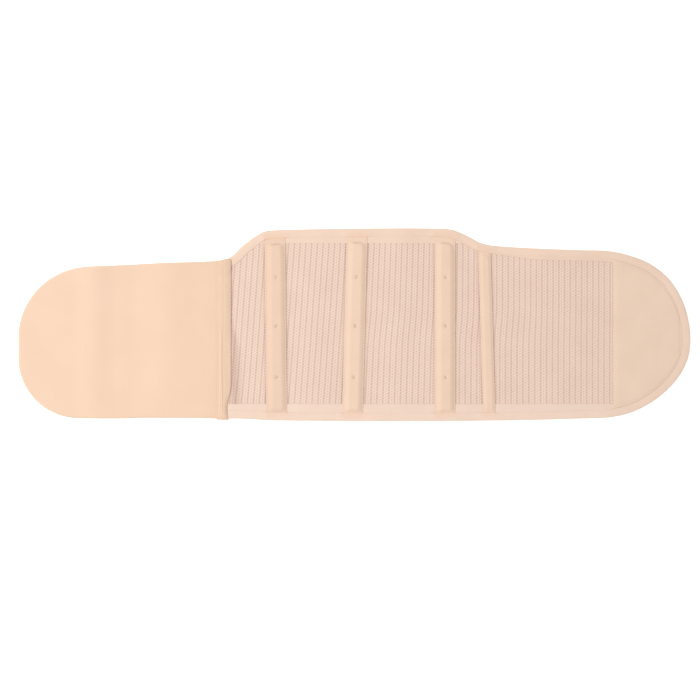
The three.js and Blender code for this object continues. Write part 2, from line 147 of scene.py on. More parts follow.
NET_CUT = 3.5  # the net's cells end this far inside the outline
NET_LEFT = -180
LEFT_CUT, LEFT_REACH = 0.25, 0.85  # cells are cut off there or drawn out to it, in shares of a cell
SELVEDGE_TOP, SELVEDGE_BOTTOM = 108.5, -106.5  # where the plain woven selvedges begin
SELVEDGE_LEAST = 11.9  # they are cut away to this width, with what the binding covers
SELVEDGE_RIGHT = 14.6  # and to this one towards the hook end
SELVEDGE_WIDENS = (195, 245)
SELVEDGE_END = 372
UNDER_SELVEDGE = 2.4  # the rows of cells run under it by about this
SELVEDGE_INSET = 1.6  # from the outline to their outer edges
SELVEDGE_LIFT, SELVEDGE_SPARE = 0.1, 0.05  # over the net's top and below its underside
FLUSH, FLUSH_RAMP, FLUSH_END = 0.4, 0.3, 9  # they rise level with the binding's inner edge
FLUSH_FROM, FLUSH_BESIDE = 0.35, (-1, 4)  # from this far under it, but not beside a channel
RIPPLES, RIPPLE_SCALES, RIPPLE_SUM = 9, (0.7, 1.6), 5

# Edges of the outline, from the middle, as shares of LENGTH and HEIGHT.
UPPER_EDGE = np.array([
    (-0.5, 0.297), (-0.408, 0.301), (-0.349, 0.31), (-0.282, 0.321), (-0.222, 0.328),
    (-0.203, 0.332), (-0.185, 0.35), (-0.166, 0.41), (-0.146, 0.461), (-0.13, 0.487),
    (-0.103, 0.493), (0.083, 0.5), (0.135, 0.498), (0.146, 0.492), (0.158, 0.477),
    (0.172, 0.454), (0.187, 0.426), (0.202, 0.413), (0.232, 0.404), (0.292, 0.393), (0.357, 0.387),
])
LOWER_EDGE = np.array([
    (-0.5, -0.481), (-0.349, -0.486), (-0.304, -0.482), (-0.222, -0.484), (-0.17, -0.487),
    (-0.118, -0.496), (0.068, -0.5), (0.202, -0.497), (0.292, -0.491), (0.357, -0.485),
])
# How far the middle of the rounded end drifts up, as shares of END_LENGTH and HEIGHT.
END_DRIFT = np.array([
    (0, 0), (0.35, 0.0), (0.6, 0.004), (0.76, 0.004), (0.85, -0.001), (0.95, -0.013), (1, -0.026),
])
# Waves in the cloth: crest and half width as shares of LENGTH, rise at the upper and lower edge.
WAVES = ((-0.387, 0.034, 4.3, 1.7), (-0.284, 0.05, 4.2, 2.2), (-0.058, 0.038, 0.66, 0.99),
         (0.067, 0.046, 1.1, 0.66), (0.3, 0.06, 1.76, 0.88))
# Columns of holes: where along the binder, how far they lean over for each millimetre up,
# and how far they step over across the binder's middle.
COLUMNS = np.array([
    (-165, 0.074, 0), (-106, 0.076, 0), (-35, 0.071, 0), (41, 0.041, 2.7), (82, 0.030, 2.4),
    (151, 0.005, 3.4), (213, 0.0, 3.7), (262, 0.002, 0.8), (315, 0.001, 0.5), (350, 0.0, 0.4),
])
STEP_MIDDLE, STEP_HALF = -4, 30
# Stay channels: middle and lean along the binder as shares of LENGTH, and width.
WIDE_CHANNEL, NARROW_CHANNEL = 28, 17
CHANNELS = {
    "stay_channel_1": (-0.1165, -0.003, WIDE_CHANNEL),
    "stay_channel_2": (0.001, 0.0075, WIDE_CHANNEL),
    "stay_channel_3": (0.135, 0.0, WIDE_CHANNEL),
    "stay_channel_4": (0.197, -0.0085, NARROW_CHANNEL),
}
# The net is made in three pieces that meet where a channel hides them.
NET_SPANS = {"net_left": (-210, 0.0), "net_middle": (0.0, 176.0), "net_right": (176.0, 452)}

END_X = LENGTH / 2 - END_LENGTH
RIGHT_END = END_X + END_LENGTH


def along(table, places):
    """A smooth curve through the table's points, with no overshoot between them."""
    at, value = table[:, 0], table[:, 1]
    step = np.diff(at)
    slope = np.diff(value) / step
    tangent = np.zeros(len(at))
    before, after = slope[:-1], slope[1:]
    same = before * after > 0
    tangent[1:-1][same] = 2 * before[same] * after[same] / (before[same] + after[same])
    k = np.clip(np.searchsorted(at, places, side="right") - 1, 0, len(step) - 1)
    t = np.clip((places - at[k]) / step[k], 0, 1)
    return ((2 * t**3 - 3 * t**2 + 1) * value[k] + (t**3 - 2 * t**2 + t) * tangent[k] * step[k]
            + (3 * t**2 - 2 * t**3) * value[k + 1] + (t**3 - t**2) * tangent[k + 1] * step[k])


def corner_cut(from_tip, radius):
    inset = np.maximum(0, radius - from_tip)
    return radius - np.sqrt(np.maximum(0, radius**2 - inset**2))


def outline(x):
    """Lower and upper edge of the binder at x, in millimetres."""
    x = np.asarray(x, dtype=float)
    upper = HEIGHT * along(UPPER_EDGE, x / LENGTH)
    lower = HEIGHT * along(LOWER_EDGE, x / LENGTH)
    past = np.clip((x - END_X) / END_LENGTH, 0, 1)
    kept = (1 - past**END_SQUARENESS) ** (1 / END_SQUARENESS)
    middle = (upper + lower) / 2 + HEIGHT * along(END_DRIFT, past)
    half = (upper - lower) / 2 * kept
    from_tip = x + LENGTH / 2
    return (middle - half + corner_cut(from_tip, PANEL_LOWER_RADIUS) + SOFT_LOWER * kept,
            middle + half - corner_cut(from_tip, PANEL_UPPER_RADIUS) - SOFT_UPPER * kept)


def inside(x, border):
    """The same edges with a border of that width taken off all round."""
    x, border = np.asarray(x, dtype=float), np.asarray(border, dtype=float)
    lower, upper = np.full(x.shape, -np.inf), np.full(x.shape, np.inf)
    for turn in np.linspace(-math.pi / 2, math.pi / 2, TURNS):
        low, high = outline(x + border * math.sin(turn))
        lower = np.maximum(lower, low + border * math.cos(turn))
        upper = np.minimum(upper, high - border * math.cos(turn))
    return lower, upper


def smooth(x, start, end):
    """Goes from 0 at the start to 1 at the end, level at both."""
    t = np.clip((x - start) / (end - start), 0, 1)
    return t * t * (3 - 2 * t)


def bell(off, width):
    """1 in the middle, falling off to both sides."""
    return np.exp(-((off / width) ** 2))


def wave(x, y):
    """How far the cloth stands off the table."""
    share = np.clip(y / HEIGHT + 0.5, 0, 1)
    at_tuck = np.clip(1 - np.abs(x - TUCK_X) / TUCK_HALF, 0, 1)
    rise = TUCK_RISE * at_tuck**TUCK_SHARPNESS * smooth(-y, 0, TUCK_BELOW)
    rise = rise + np.zeros(np.broadcast(x, y).shape)
    for at, half, upper, lower in WAVES:
        off = np.minimum(1, np.abs(x / LENGTH - at) / half)
        rise = rise + (lower + (upper - lower) * share) * 0.5 * (1 + np.cos(np.pi * off))
    return rise


def ripple(x, y, size, seed):
    """Small uneven dents, mostly from -1 to 1, about that size across."""
    rng = np.random.default_rng(seed)
    total = np.zeros(np.broadcast(x, y).shape)
    for _ in range(RIPPLES):
        turn, phase, scale = rng.uniform(0, math.pi), rng.uniform(0, 2 * math.pi), rng.uniform(*RIPPLE_SCALES)
        total = total + np.sin((x * math.cos(turn) + y * math.sin(turn)) * 2 * math.pi / size * scale + phase)
    return total / RIPPLE_SUM


def coordinates(piece):
    points = np.empty(len(piece.data.vertices) * 3)
    piece.data.vertices.foreach_get("co", points)
    return points.reshape(-1, 3)


def put(piece, points):
    piece.data.vertices.foreach_set("co", np.asarray(points, dtype=float).ravel())
    piece.data.update()


def edge_ends(piece):
    ends = np.empty(len(piece.data.edges) * 2, dtype=int)
    piece.data.edges.foreach_get("vertices", ends)
    return ends.reshape(-1, 2)


def mode(name):
    bpy.ops.object.mode_set(mode=name)


def only(piece):
    """Makes the piece the active one, and the only one selected."""
    bpy.ops.object.select_all(action="DESELECT")
    bpy.context.view_layer.objects.active = piece
    piece.select_set(True)


def pick(piece, select_mode, items, chosen):
    """Selects the piece's chosen edges or faces and goes into edit mode."""
    only(piece)
    mode("EDIT")
    bpy.ops.mesh.select_mode(type=select_mode)
    bpy.ops.mesh.select_all(action="DESELECT")
    mode("OBJECT")
    items.foreach_set("select", np.asarray(chosen, dtype=bool))
    mode("EDIT")


def thicken(piece, thickness, offset=-1.0):
    """Gives a sheet its thickness in millimetres, downwards from its face by default."""
    wall = piece.modifiers.new("wall", "SOLIDIFY")
    wall.thickness = thickness * MM
    wall.offset = offset
    only(piece)
    bpy.ops.object.modifier_apply(modifier="wall")


def flat_grid(name, across, up):
    """A flat grid, and how far across and up each of its points lies, from 0 to 1."""
    bpy.ops.object.select_all(action="DESELECT")
    bpy.ops.mesh.primitive_grid_add(x_subdivisions=across, y_subdivisions=up, size=1)
    piece = bpy.context.object
    piece.name = name
    unit = coordinates(piece) + 0.5
    return piece, unit[:, 0], unit[:, 1]


def sheet_grid(name, across, up, place):
    """A grid of cloth. place(u, v) gives x, y and z in millimetres, with u and v from 0 to 1."""
    piece, u, v = flat_grid(name, across, up)
    put(piece, np.column_stack(place(u, v)) * MM)
    bpy.ops.object.shade_smooth()
    return piece


def net_z(x, y):
    return wave(x, y) + NET_HIGH


def lean_shift(x, y):
    at, lean, step = COLUMNS.T
    stepped = smooth(y, STEP_MIDDLE - STEP_HALF, STEP_MIDDLE + STEP_HALF) - 0.5
    drawn = GATHER * smooth(-y, *GATHER_DOWN) * (1 - smooth(x, *GATHER_ALONG))
    return np.interp(x, at, lean) * y + np.interp(x, at, step) * stepped - drawn


def channel_x(at, lean, y):
    return LENGTH * (at + lean * y / HEIGHT)


def beside_channel(x, y):
    """Distance out from the nearest channel's side, in millimetres."""
    away = [np.abs(x - channel_x(at, lean, y)) - width / 2 for at, lean, width in CHANNELS.values()]
    return np.min(away, axis=0)


def pressed(x, y):
    """How far the net is drawn down beside a channel's seam and the tape's edge; the same share darkens its
    colour there as painted shade.
    """
    at_channel = bell(beside_channel(x, y) - PRESS_OUT, PRESS_WIDTH)
    off, low = x - TAPE_RIGHT, smooth(-y, PINCH_FROM, PINCH_FULL)
    at_edge = 1 - TAPE_LESS * low * (1 - smooth(off, 0, TAPE_LESS_REACH))
    at_tape = at_edge * (1 - smooth(off, TAPE_NEAR + PINCH_NEAR * low, TAPE_FAR + PINCH_FAR * low))
    return np.maximum(at_channel, at_tape)


def selvedge_lines(x):
    """Where the lower and the upper selvedge begin."""
    least = SELVEDGE_LEAST + (SELVEDGE_RIGHT - SELVEDGE_LEAST) * smooth(x, *SELVEDGE_WIDENS)
    lower, upper = inside(x, least)
    return np.maximum(lower, SELVEDGE_BOTTOM), np.minimum(upper, SELVEDGE_TOP)


def straighten(piece, line, reach):
    """Draws the leaning columns' stepped left side out to one straight line, in millimetres."""
    points = coordinates(piece) / MM
    ends = edge_ends(piece)
    sides = np.empty(len(piece.data.loops), dtype=int)
    piece.data.loops.foreach_get("edge_index", sides)
    border = ends[np.bincount(sides, minlength=len(ends)) == 1]
    level = np.abs(np.diff(points[border, 1], axis=1))[:, 0] < LEVEL * ROW_PITCH
    at_side = np.zeros(len(points), dtype=bool)
    at_side[border.ravel()] = True
    at_side[border[level].ravel()] = False
    drawn_out = (points[:, 0] < line) | (at_side & (points[:, 0] < line + reach))
    points[drawn_out, 0] = line
    put(piece, points * MM)


def mark(piece, label, values):
    """Stores a value at each of the piece's points, for its material to read."""
    piece.data.attributes.new(label, "FLOAT", "POINT").data.foreach_set("value", values)


def net_piece(name, start, end):
    """The net from start to end, as one mesh with a hole in each cell."""
    columns = round((end - start) / HOLE_PITCH)
    rows = round(HEIGHT / ROW_PITCH) + 2
    pitch = (end - start) / columns
    piece, u, v = flat_grid(name, columns, 2 * rows)
    line, level = np.rint(u * columns), np.rint(v * 2 * rows)
    pull = np.where((line + level) % 2 == 1, 1, -1) * HEX_SHIFT
    x = start + line * pitch + np.where((line > 0) & (line < columns), pull, 0)
    y = (level / 2 - rows / 2) * ROW_PITCH
    put(piece, np.column_stack([x, y, np.zeros(len(x))]) * MM)

    # Every second cross edge goes, which leaves a brick pattern of six-sided cells.
    first, second = edge_ends(piece).T
    first_line = np.minimum(line[first], line[second])
    inner = (level[first] > 0) & (level[first] < 2 * rows)
    crossing = (level[first] == level[second]) & inner & ((first_line + level[first]) % 2 == 1)
    pick(piece, "EDGE", piece.data.edges, crossing)
    bpy.ops.mesh.dissolve_edges(use_verts=False)
    mode("OBJECT")

    # The cells lean with the cloth, and those outside the outline are cut away.
    points = coordinates(piece) / MM
    points[:, 0] += lean_shift(points[:, 0], points[:, 1])
    put(piece, points * MM)
    middles = np.empty(len(piece.data.polygons) * 3)
    piece.data.polygons.foreach_get("center", middles)
    x, y = middles.reshape(-1, 3).T[:2] / MM
    lower, upper = inside(x, NET_CUT)
    lower_line, upper_line = selvedge_lines(x)
    bordered = x < SELVEDGE_END
    lower = np.where(bordered, np.maximum(lower, lower_line - UNDER_SELVEDGE), lower)
    upper = np.where(bordered, np.minimum(upper, upper_line + UNDER_SELVEDGE), upper)
    outside = (y < lower) | (y > upper) | (x > RIGHT_END - NET_CUT) | (x < NET_LEFT + LEFT_CUT * pitch)
    pick(piece, "FACE", piece.data.polygons, outside)
    bpy.ops.mesh.delete(type="FACE")
    mode("OBJECT")
    straighten(piece, NET_LEFT, LEFT_REACH * pitch)

    # Each cell becomes a hole with a ring of cloth round it.
    mode("EDIT")
    bpy.ops.mesh.select_all(action="SELECT")
    strand = (HOLE_PITCH - HOLE) / 2
    bpy.ops.mesh.inset(thickness=strand * MM, depth=0, use_individual=True, use_boundary=True)
    mode("OBJECT")
    points = coordinates(piece) / MM
    depth = np.zeros(len(points))
    for face in piece.data.polygons:
        if face.select:
            rim, middle = list(face.vertices), np.array(face.center)[:2] / MM
            column = (middle[0] - lean_shift(middle[0], middle[1]) - start) // pitch
            deep = column % 2 == 1
            uneven = float(ripple(middle[0], middle[1], size=55, seed=8))
            drawn = min(MOST_OPEN, 1 + UNEVEN_HOLES * uneven)
            spread = (points[rim, :2] - middle) * (DEEP_HOLE if deep else SHALLOW_HOLE) * drawn
            spread[:, 0] *= min(1, WIDEST_HOLE / np.ptp(points[rim, 0]))
            points[rim, :2] = middle + spread
            depth[rim] = DEEP_RIM if deep else SHALLOW_RIM
    tight_and_shade = pressed(points[:, 0], points[:, 1])
    points[:, 2] = net_z(points[:, 0], points[:, 1]) - depth - PRESS_DEPTH * tight_and_shade
    columns_at = (points[:, 0] - lean_shift(points[:, 0], points[:, 1]) - start) / pitch
    mark(piece, "column", columns_at)
    mark(piece, "tight_and_shade", tight_and_shade)
    put(piece, points * MM)
    mode("EDIT")
    bpy.ops.mesh.delete(type="FACE")
    mode("OBJECT")
    thicken(piece, NET_HIGH - NET_LOW - DEEP_RIM)
    bpy.ops.object.shade_smooth()
    return piece


def selvedge(side, u, v):
    """Plain border from inside the fold to where the holes begin."""
    x = NET_LEFT + u * (SELVEDGE_END - NET_LEFT)
    inner = selvedge_lines(x)[1 if side == "upper" else 0]
    borders = (SELVEDGE_INSET, BINDING_WIDTH - FLUSH_FROM)
    outer, fold = (inside(x, border)[1 if side == "upper" else 0] for border in borders)
    y = inner + (outer - inner) * v if side == "upper" else outer + (inner - outer) * v
    past_fold = np.abs(y - outer) - np.abs(fold - outer)
    flush = FLUSH * smooth(past_fold, 0, FLUSH_RAMP) * (1 - smooth(past_fold, FLUSH_RAMP, FLUSH_END))
    flush = flush * smooth(beside_channel(x, y), *FLUSH_BESIDE)
    return x, y, net_z(x, y) + SELVEDGE_LIFT + flush


def new_group(name, numbers, outputs):
    """A group of nodes that takes a place, "Vector", and numbers, and gives numbers."""
    group = bpy.data.node_groups.new(name, "ShaderNodeTree")
    group.interface.new_socket(name="Vector", in_out="INPUT", socket_type="NodeSocketVector")
    for way, sockets in (("INPUT", numbers), ("OUTPUT", outputs)):
        for socket in sockets:
            group.interface.new_socket(name=socket, in_out=way, socket_type="NodeSocketFloat")
    return group, group.nodes.new("NodeGroupInput"), group.nodes.new("NodeGroupOutput")


def math_node(tree, operation, first, second=None, third=None):
    node = tree.nodes.new("ShaderNodeMath")
    node.operation = operation
    for socket, value in zip(node.inputs, (first, second, third)):
        if value is None:
            continue
        if isinstance(value, (int, float)):
            socket.default_value = value
        else:
            tree.links.new(value, socket)
    return node.outputs[0]


# Uneven dye and thickness in a knitted cloth: soft blotches and a fine grain.
BLOTCH, GRAIN = 30.0, 900.0
BLOTCH_SHARE, GRAIN_SHARE = 0.65, 0.35
mottle, mottle_in, mottle_out = new_group("cloth_mottle", ("Blotch", "Grain"), ("Shade", "Fuzz"))
blotches = mottle.nodes.new("ShaderNodeTexNoise")
settle(blotches, {"Detail": 3})
grain = mottle.nodes.new("ShaderNodeTexNoise")
settle(grain, {"Detail": 2})
mottle.links.new(mottle_in.outputs["Vector"], blotches.inputs["Vector"])
mottle.links.new(mottle_in.outputs["Vector"], grain.inputs["Vector"])
mottle.links.new(mottle_in.outputs["Blotch"], blotches.inputs["Scale"])
mottle.links.new(mottle_in.outputs["Grain"], grain.inputs["Scale"])
soft_part = math_node(mottle, "MULTIPLY", blotches.outputs["Fac"], BLOTCH_SHARE)
mixed = math_node(mottle, "MULTIPLY_ADD", grain.outputs["Fac"], GRAIN_SHARE, soft_part)
mottle.links.new(mixed, mottle_out.inputs["Shade"])
mottle.links.new(grain.outputs["Fac"], mottle_out.inputs["Fuzz"])

# Knitted loops: upright wales with a course of slanting loops across each.
LOOP_SLANT, LOOP_DEPTH = 1.6, 0.3
knit, knit_in, knit_out = new_group("knit_loops", ("Wale", "Course"), ("Height",))
split = knit.nodes.new("ShaderNodeSeparateXYZ")
knit.links.new(knit_in.outputs["Vector"], split.inputs[0])
wale = math_node(knit, "MULTIPLY", split.outputs["X"], knit_in.outputs["Wale"])
course = math_node(knit, "MULTIPLY", split.outputs["Y"], knit_in.outputs["Course"])
wale_ridge = math_node(knit, "ABSOLUTE", math_node(knit, "SINE", wale))
slant = math_node(knit, "MULTIPLY_ADD", wale_ridge, LOOP_SLANT, course)
loop = math_node(knit, "MULTIPLY_ADD", math_node(knit, "SINE", slant), LOOP_DEPTH, 0.5)
knit.links.new(math_node(knit, "MULTIPLY", wale_ridge, loop), knit_out.inputs["Height"])


RAMP_START, RAMP_END = 0.32, 0.68  # shades at which the cloth is all dark and all light
FUZZ_SHARE = 0.5  # of the grain in the bump, beside the loops


def cloth_material(name, dark, light, roughness, sheen, depth, wale, course, blotch=BLOTCH):
    """A knitted cloth: mottled colour from dark to light, with loops and fuzz as bump."""
    material = bpy.data.materials.new(name)
    material.use_nodes = True
    tree = material.node_tree
    shader = tree.nodes["Principled BSDF"]
    settle(shader, {"Roughness": roughness, "Sheen Weight": sheen, "Sheen Roughness": 0.5,
                    "Specular IOR Level": 0.2})
    place = tree.nodes.new("ShaderNodeTexCoord")
    spots = tree.nodes.new("ShaderNodeGroup")
    spots.node_tree = mottle
    settle(spots, {"Blotch": blotch, "Grain": GRAIN})
    tree.links.new(place.outputs["Object"], spots.inputs["Vector"])
    ramp = tree.nodes.new("ShaderNodeValToRGB")
    ramp.color_ramp.elements[0].position = RAMP_START
    ramp.color_ramp.elements[0].color = (*dark, 1)
    ramp.color_ramp.elements[1].position = RAMP_END
    ramp.color_ramp.elements[1].color = (*light, 1)
    tree.links.new(spots.outputs["Shade"], ramp.inputs["Fac"])
    tree.links.new(ramp.outputs["Color"], shader.inputs["Base Color"])
    loops = tree.nodes.new("ShaderNodeGroup")
    loops.node_tree = knit
    settle(loops, {"Wale": wale, "Course": course})
    tree.links.new(place.outputs["Object"], loops.inputs["Vector"])
    bump = tree.nodes.new("ShaderNodeBump")
    settle(bump, {"Strength": 0.6, "Distance": depth * MM})
    height = math_node(tree, "MULTIPLY_ADD", spots.outputs["Fuzz"], FUZZ_SHARE, loops.outputs["Height"])
    tree.links.new(height, bump.inputs["Height"])
    tree.links.new(bump.outputs["Normal"], shader.inputs["Normal"])
    return material


def fade(material, axis, start, end):
    """A mask that goes from 0 to 1 between two places along an axis, in millimetres."""
    tree = material.node_tree
    split = tree.nodes.new("ShaderNodeSeparateXYZ")
    tree.links.new(tree.nodes["Texture Coordinate"].outputs["Object"], split.inputs[0])
    reach = tree.nodes.new("ShaderNodeMapRange")
    reach.interpolation_type = "SMOOTHSTEP"
    settle(reach, {"From Min": start * MM, "From Max": end * MM})
    tree.links.new(split.outputs[axis], reach.inputs["Value"])
    return reach.outputs["Result"]


def marked(material, label):
    """The values that mark() stored under that label."""
    node = material.node_tree.nodes.new("ShaderNodeAttribute")
    node.attribute_name = label
    return node.outputs["Fac"]


def tinted(material, mask, tint):
    """Multiplies the material's colour by the tint where the mask is 1."""
    tree = material.node_tree
    colour = tree.nodes["Principled BSDF"].inputs["Base Color"]
    shaded = tree.nodes.new("ShaderNodeMix")
    shaded.data_type = "RGBA"
    shaded.blend_type = "MULTIPLY"
    shaded.inputs[7].default_value = (*tint, 1)
    tree.links.new(colour.links[0].from_socket, shaded.inputs[6])
    tree.links.new(mask, shaded.inputs[0])
    tree.links.new(shaded.outputs[2], colour)


net_cloth = cloth_material(
    "elastic_net", dark=(0.785, 0.583, 0.476), light=(0.825, 0.622, 0.513),
    roughness=0.9, sheen=0.15, depth=0.12, wale=5200, course=4200)
# Every second column lies in a groove between two ridges, and its colour is darkened there as painted shade
# in the groove.
GROOVE_SHARPNESS = 6
net_tree = net_cloth.node_tree
turned = math_node(net_tree, "MULTIPLY", marked(net_cloth, "column"), math.pi)
groove = math_node(net_tree, "MULTIPLY_ADD", math_node(net_tree, "SINE", turned), -0.5, 0.5)
groove = math_node(net_tree, "POWER", groove, GROOVE_SHARPNESS)
tinted(net_cloth, groove, tint=(0.89, 0.865, 0.855))
# Where the net is drawn down beside the channels' seams and the tape's edge its colour is darkened: painted
# shade, with the gathered net also a little denser there.
tinted(net_cloth, marked(net_cloth, "tight_and_shade"), tint=(0.82, 0.785, 0.765))
selvedge_cloth = cloth_material(
    "net_selvedge", dark=(0.79, 0.60, 0.49), light=(0.83, 0.64, 0.53),
    roughness=0.9, sheen=0.15, depth=0.12, wale=5200, course=4200)
# It is a shade warmer along the upper edge.
WARMER_UP = (-40, 60)
tinted(selvedge_cloth, fade(selvedge_cloth, "Y", *WARMER_UP), tint=(0.995, 0.98, 0.95))
for name, (start, end) in NET_SPANS.items():
    net = net_piece(name, start, end)
    net.data.materials.append(net_cloth)
    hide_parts("net_body")
    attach(net, "root")
for side in ("upper", "lower"):
    border = sheet_grid("net_selvedge_" + side, across=230, up=28, place=lambda u, v: selvedge(side, u, v))
    thicken(border, NET_HIGH - NET_LOW + SELVEDGE_LIFT + PRESS_DEPTH + SELVEDGE_SPARE)
    border.data.materials.append(selvedge_cloth)
    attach(border, "root")


# Edge binding
# A knitted tape folded round the net's edge, from the seam along the lower edge, round the
# hook end and back. Its two leaves are sewn through the net near their inner edges, and the
# upper leaf rides over the tucked ends of the channels.
LEAF = 0.5  # each leaf of the folded tape
PATH_STEP = 1.9  # along the tape
PATH_POINTS, END_POINTS = 0.5, 600  # it is drawn in steps of this, with so many round the end
SMOOTHING, PASSES = (0.25, 0.5, 0.25), 3  # of its direction, over neighbouring points
BUMP, BUMP_CLEAR, BUMP_RAMP = 0.6, 0.5, 9.0  # it rises over a channel's end
PUCKER = 0.13  # unevenness that the sewing leaves
BINDING_SEAM = 9.4  # from the outline in to the row of stitches
SEAM_UPPER, SEAM_LOWER = 3.19, 0.26  # heights of the stitches on its two faces
SEAM_DIP, SEAM_SPREAD = 0.14, 0.8  # the stitches draw it in
STITCH, STITCH_GAUGE, STITCH_PITCH = 2.3, 0.36, 3.1
THREAD_LIGHT = 1.06  # a thread's lightest colour over its darkest
SHOW_IN, SHOW_BESIDE = (3, 7), (-0.5, 1.5)  # where a channel's tucked end shows through, with painted shade
FOLD_MIDDLE, UPPER_LEAF = 1.9, 3.0  # heights
LEAF_FREE = (2, 5)  # from the edge in, where the upper leaf begins to rise over what it covers
FOLD = np.array([  # the folded tape's middle line: distance in from the edge, height
    (11.0, 0.5), (9.0, 0.42), (2.0, 0.4), (1.1, 0.55), (0.62, 0.95), (0.45, 1.5), (0.4, 1.9),
    (0.45, 2.3), (0.7, 2.75), (1.3, 3.05), (2.2, 3.2), (5.0, 3.25), (8.0, 3.15), (9.8, 3.02), (11.0, 2.97),
])


def binding_bump(x, y):
    return BUMP * (1 - smooth(beside_channel(x, y) - BUMP_CLEAR, 0, BUMP_RAMP))


def border_path():
    """Points and inward directions round the net's edge, evenly spaced, in millimetres."""
    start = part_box("edge_binding")[0].x / MM
    straight = np.arange(start, END_X, PATH_POINTS)
    turns = np.linspace(-math.pi / 2, math.pi / 2, END_POINTS)
    end = END_X + END_LENGTH * np.cos(turns) ** (2 / END_SQUARENESS)
    low, high = outline(end)
    x = np.concatenate([straight, end, straight[::-1]])
    y = np.concatenate([outline(straight)[0], np.where(turns < 0, low, high), outline(straight)[1][::-1]])
    along_path = np.concatenate([[0], np.cumsum(np.hypot(np.diff(x), np.diff(y)))])
    even = np.linspace(0, along_path[-1], round(along_path[-1] / PATH_STEP))
    x, y = np.interp(even, along_path, x), np.interp(even, along_path, y)
    dx, dy = np.gradient(x), np.gradient(y)
    for _ in range(PASSES):
        dx, dy = (np.convolve(np.pad(part, 1, mode="edge"), SMOOTHING, "valid") for part in (dx, dy))
    run = np.hypot(dx, dy)
    return x, y, -dy / run, dx / run


path_x, path_y, path_in_x, path_in_y = border_path()
path_steps = np.hypot(np.diff(path_x), np.diff(path_y))


def leaf_lift(x, y, z, into):
    """How far the cloth under the folded tape moves it off its drawn height."""
    upper = smooth(z, FOLD_MIDDLE, UPPER_LEAF)
    lift = binding_bump(x, y) + PUCKER * ripple(x, y, size=11, seed=5)
    return wave(x, y) + upper * smooth(into, *LEAF_FREE) * lift


def folded_tape(u, v):
    k = np.rint(u * (len(path_x) - 1)).astype(int)
    turn = v * (len(FOLD) - 1)
    into = np.interp(turn, np.arange(len(FOLD)), FOLD[:, 0])
    z = np.interp(turn, np.arange(len(FOLD)), FOLD[:, 1])
    x = path_x[k] + path_in_x[k] * into
    y = path_y[k] + path_in_y[k] * into
    sewn_down = SEAM_DIP * bell(into - BINDING_SEAM, SEAM_SPREAD) * np.sign(z - FOLD_MIDDLE)
    return x, y, z + leaf_lift(x, y, z, into) - sewn_down


def binding_seam(z):
    """The seam along one leaf, as places and directions of its stitches."""
    at = np.concatenate([[0], np.cumsum(path_steps)])
    places = np.arange(STITCH_PITCH, at[-1], STITCH_PITCH)
    x, y, in_x, in_y = (np.interp(places, at, part) for part in (path_x, path_y, path_in_x, path_in_y))
    x, y = x + in_x * BINDING_SEAM, y + in_y * BINDING_SEAM
    return x, y, z + leaf_lift(x, y, np.full(len(x), z), BINDING_SEAM), np.arctan2(-in_x, in_y)


def thread_material(name, color):
    return cloth_material(
        name, dark=color, light=tuple(THREAD_LIGHT * part for part in color),
        roughness=0.7, sheen=0.2, depth=0.05, wale=9000, course=9000)


def sewn(name, rows, length, gauge, material):
    """One object of short threads in millimetres. Each row gives x, y, z and direction."""
    x, y, z, turn = (np.concatenate([np.atleast_1d(row[k]) for row in rows]) for k in range(4))
    bpy.ops.object.select_all(action="DESELECT")
    bpy.ops.mesh.primitive_uv_sphere_add(segments=6, ring_count=4, radius=0.5)
    piece = bpy.context.object
    piece.name = name
    one = coordinates(piece)[:, [2, 0, 1]] * (length, gauge, gauge)
    repeat = piece.modifiers.new("row", "ARRAY")
    repeat.count = len(x)
    repeat.use_relative_offset = False
    bpy.ops.object.modifier_apply(modifier="row")
    local = np.tile(one, (len(x), 1))
    x, y, z, turn = (np.repeat(part, len(one)) for part in (x, y, z, turn))
    put(piece, np.column_stack([
        x + local[:, 0] * np.cos(turn) - local[:, 1] * np.sin(turn),
        y + local[:, 0] * np.sin(turn) + local[:, 1] * np.cos(turn),
        z + local[:, 2],
    ]) * MM)
    bpy.ops.object.shade_smooth()
    piece.data.materials.append(material)
    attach(piece, "root")
    return piece


binding_cloth = cloth_material(
    "folded_binding", dark=(0.80, 0.605, 0.486), light=(0.84, 0.645, 0.526),
    roughness=0.88, sheen=0.25, depth=0.15, wale=4300, course=3600)
# It is a shade warmer along the upper edge, and round the hook end, where the warmth is painted light bounced
# off the hook patch.
BOUNCE_LIGHT_RIGHT = (330, 400)
warmer = math_node(binding_cloth.node_tree, "MAXIMUM",
                   fade(binding_cloth, "Y", *WARMER_UP), fade(binding_cloth, "X", *BOUNCE_LIGHT_RIGHT))
tinted(binding_cloth, warmer, tint=(0.992, 0.98, 0.955))
binding = sheet_grid("binding_tape", across=len(path_x) - 1, up=28, place=folded_tape)
thicken(binding, LEAF, offset=0)
# The tape is darker and warmer over the channels' tucked ends: painted shade where it rises over them, with
# their colour showing through.
x, y = coordinates(binding).T[:2] / MM
lower, upper = outline(x)
shows = smooth(np.minimum(y - lower, upper - y), *SHOW_IN) * (1 - smooth(beside_channel(x, y), *SHOW_BESIDE))
mark(binding, "over_channel_shade", shows)
tinted(binding_cloth, marked(binding_cloth, "over_channel_shade"), tint=(1.0, 0.95, 0.915))
binding.data.materials.append(binding_cloth)
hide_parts("edge_binding")
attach(binding, "root")
thread = thread_material("sewing_thread", (0.82, 0.63, 0.50))
sewn("binding_stitches", [binding_seam(SEAM_UPPER), binding_seam(SEAM_LOWER)],
     STITCH, STITCH_GAUGE, thread)


